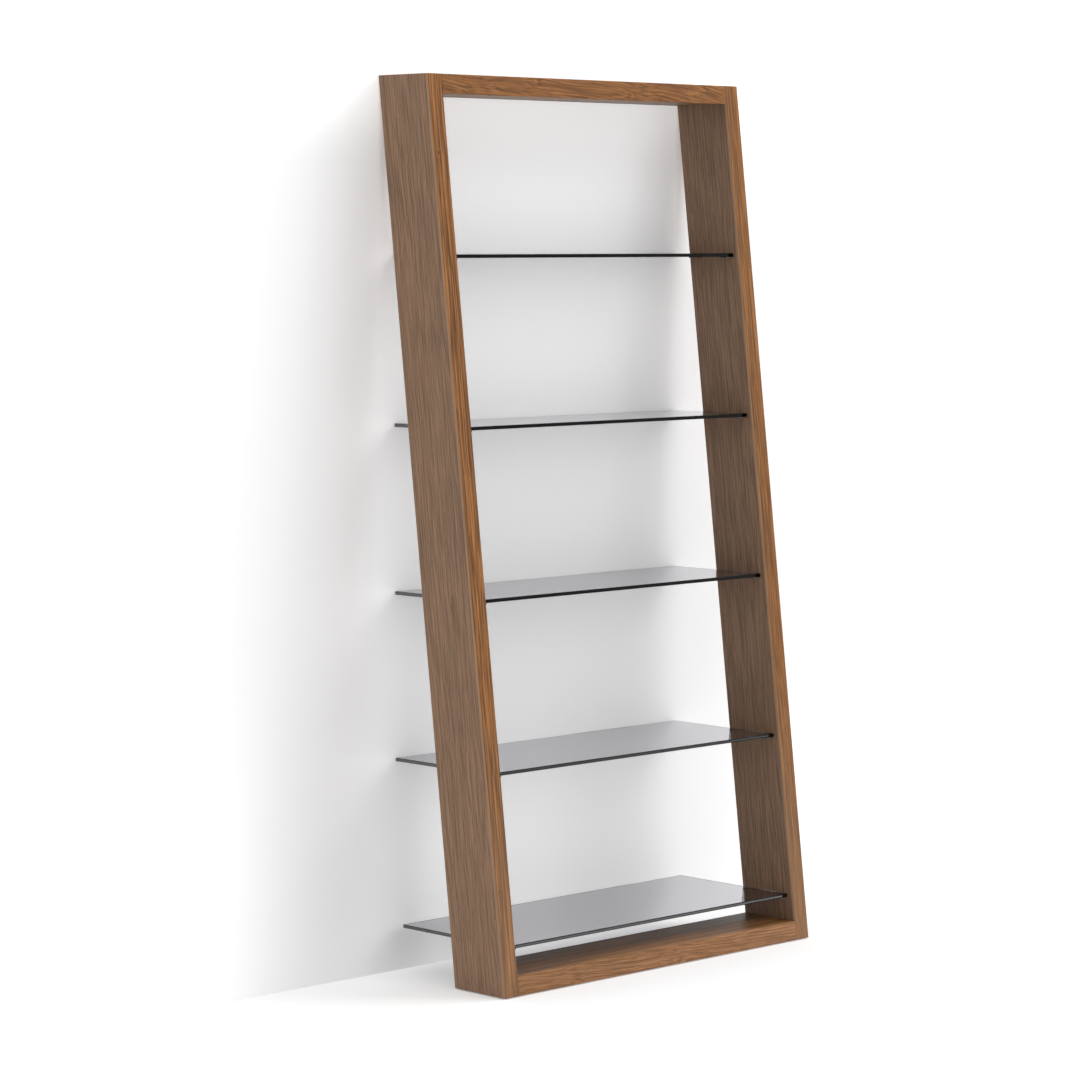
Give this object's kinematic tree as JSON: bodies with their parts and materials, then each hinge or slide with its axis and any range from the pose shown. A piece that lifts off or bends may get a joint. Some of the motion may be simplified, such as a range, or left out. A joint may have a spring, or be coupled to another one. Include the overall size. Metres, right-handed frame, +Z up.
{
  "type": "leaning shelf",
  "caption": "Tall wooden frame that leans on a wall, with glass shelves on small black supports and adjustable feet under its sides.",
  "frame": {"origin": "on the floor, in the middle of the width and halfway between the front of the base and the wall plane", "axes": "+X to the right seen from the front, +Y towards the wall, +Z up"},
  "size_m": [0.99, 0.4, 2],
  "materials": {
    "side_veneer": "grey brown walnut veneer, matt lacquer, grain along the side",
    "rail_veneer": "grey brown walnut veneer, matt lacquer, grain along the rail",
    "solid_lipping": "solid walnut, warm orange brown, matt lacquer",
    "tinted_glass": "grey tinted float glass with polished edges",
    "black_steel": "black powder coat, satin",
    "bonding_pad": "black bonding pad",
    "dowel_wood": "plain beech, unfinished",
    "plated_steel": "zinc plated steel",
    "die_cast_zinc": "die cast zinc alloy",
    "brass_insert": "turned brass",
    "nylon_glide": "dark grey nylon"
  },
  "bodies": {
    "frame": {"left_side_panel": "side_veneer", "right_side_panel": "side_veneer", "top_rail": "rail_veneer", "bottom_rail": "rail_veneer", "left_side_lipping": "solid_lipping", "right_side_lipping": "solid_lipping", "top_rail_lipping": "solid_lipping", "bottom_rail_lipping": "solid_lipping", "glass_shelf_1": "tinted_glass", "glass_shelf_2": "tinted_glass", "glass_shelf_3": "tinted_glass", "glass_shelf_4": "tinted_glass", "glass_shelf_5": "tinted_glass", "shelf_supports_1": "black_steel", "shelf_supports_2": "black_steel", "shelf_supports_3": "black_steel", "shelf_supports_4": "black_steel", "shelf_supports_5": "black_steel", "bonding_pads_1": "bonding_pad", "bonding_pads_2": "bonding_pad", "bonding_pads_3": "bonding_pad", "bonding_pads_4": "bonding_pad", "bonding_pads_5": "bonding_pad", "top_rail_cam_bolts": "plated_steel", "bottom_rail_cam_bolts": "plated_steel", "top_rail_cams": "die_cast_zinc", "bottom_rail_cams": "die_cast_zinc", "top_rail_dowels": "dowel_wood", "bottom_rail_dowels": "dowel_wood", "left_wall_hanger": "plated_steel", "right_wall_hanger": "plated_steel", "hanger_screws": "plated_steel", "foot_inserts": "brass_insert"},
    "front_left_glide": {"front_left_glide": "nylon_glide"},
    "front_left_stem": {"front_left_stem": "plated_steel"},
    "rear_left_glide": {"rear_left_glide": "nylon_glide"},
    "rear_left_stem": {"rear_left_stem": "plated_steel"},
    "front_right_glide": {"front_right_glide": "nylon_glide"},
    "front_right_stem": {"front_right_stem": "plated_steel"},
    "rear_right_glide": {"rear_right_glide": "nylon_glide"},
    "rear_right_stem": {"rear_right_stem": "plated_steel"}
  },
  "joints": [
    {"name": "front_left_foot_travel", "type": "slide", "parent": "frame", "child": "front_left_glide", "axis": [0, 0, -1], "range_m": [0, 0.012]},
    {"name": "front_left_stem_turn", "type": "hinge", "parent": "front_left_glide", "child": "front_left_stem", "pos_m": [-0.4735, -0.171, 0.005], "axis": [0, 0, -1], "range_deg": [0, 3460]},
    {"name": "rear_left_foot_travel", "type": "slide", "parent": "frame", "child": "rear_left_glide", "axis": [0, 0, -1], "range_m": [0, 0.012]},
    {"name": "rear_left_stem_turn", "type": "hinge", "parent": "rear_left_glide", "child": "rear_left_stem", "pos_m": [-0.4735, -0.071, 0.005], "axis": [0, 0, -1], "range_deg": [0, 3460]},
    {"name": "front_right_foot_travel", "type": "slide", "parent": "frame", "child": "front_right_glide", "axis": [0, 0, -1], "range_m": [0, 0.012]},
    {"name": "front_right_stem_turn", "type": "hinge", "parent": "front_right_glide", "child": "front_right_stem", "pos_m": [0.4735, -0.171, 0.005], "axis": [0, 0, -1], "range_deg": [0, 3460]},
    {"name": "rear_right_foot_travel", "type": "slide", "parent": "frame", "child": "rear_right_glide", "axis": [0, 0, -1], "range_m": [0, 0.012]},
    {"name": "rear_right_stem_turn", "type": "hinge", "parent": "rear_right_glide", "child": "rear_right_stem", "pos_m": [0.4735, -0.071, 0.005], "axis": [0, 0, -1], "range_deg": [0, 3460]}
  ],
  "couplings": [
    {"joint": "front_left_stem_turn", "follows": "front_left_foot_travel", "rad_per_m": 5026.5},
    {"joint": "rear_left_stem_turn", "follows": "rear_left_foot_travel", "rad_per_m": 5026.5},
    {"joint": "front_right_stem_turn", "follows": "front_right_foot_travel", "rad_per_m": 5026.5},
    {"joint": "rear_right_stem_turn", "follows": "rear_right_foot_travel", "rad_per_m": 5026.5}
  ]
}
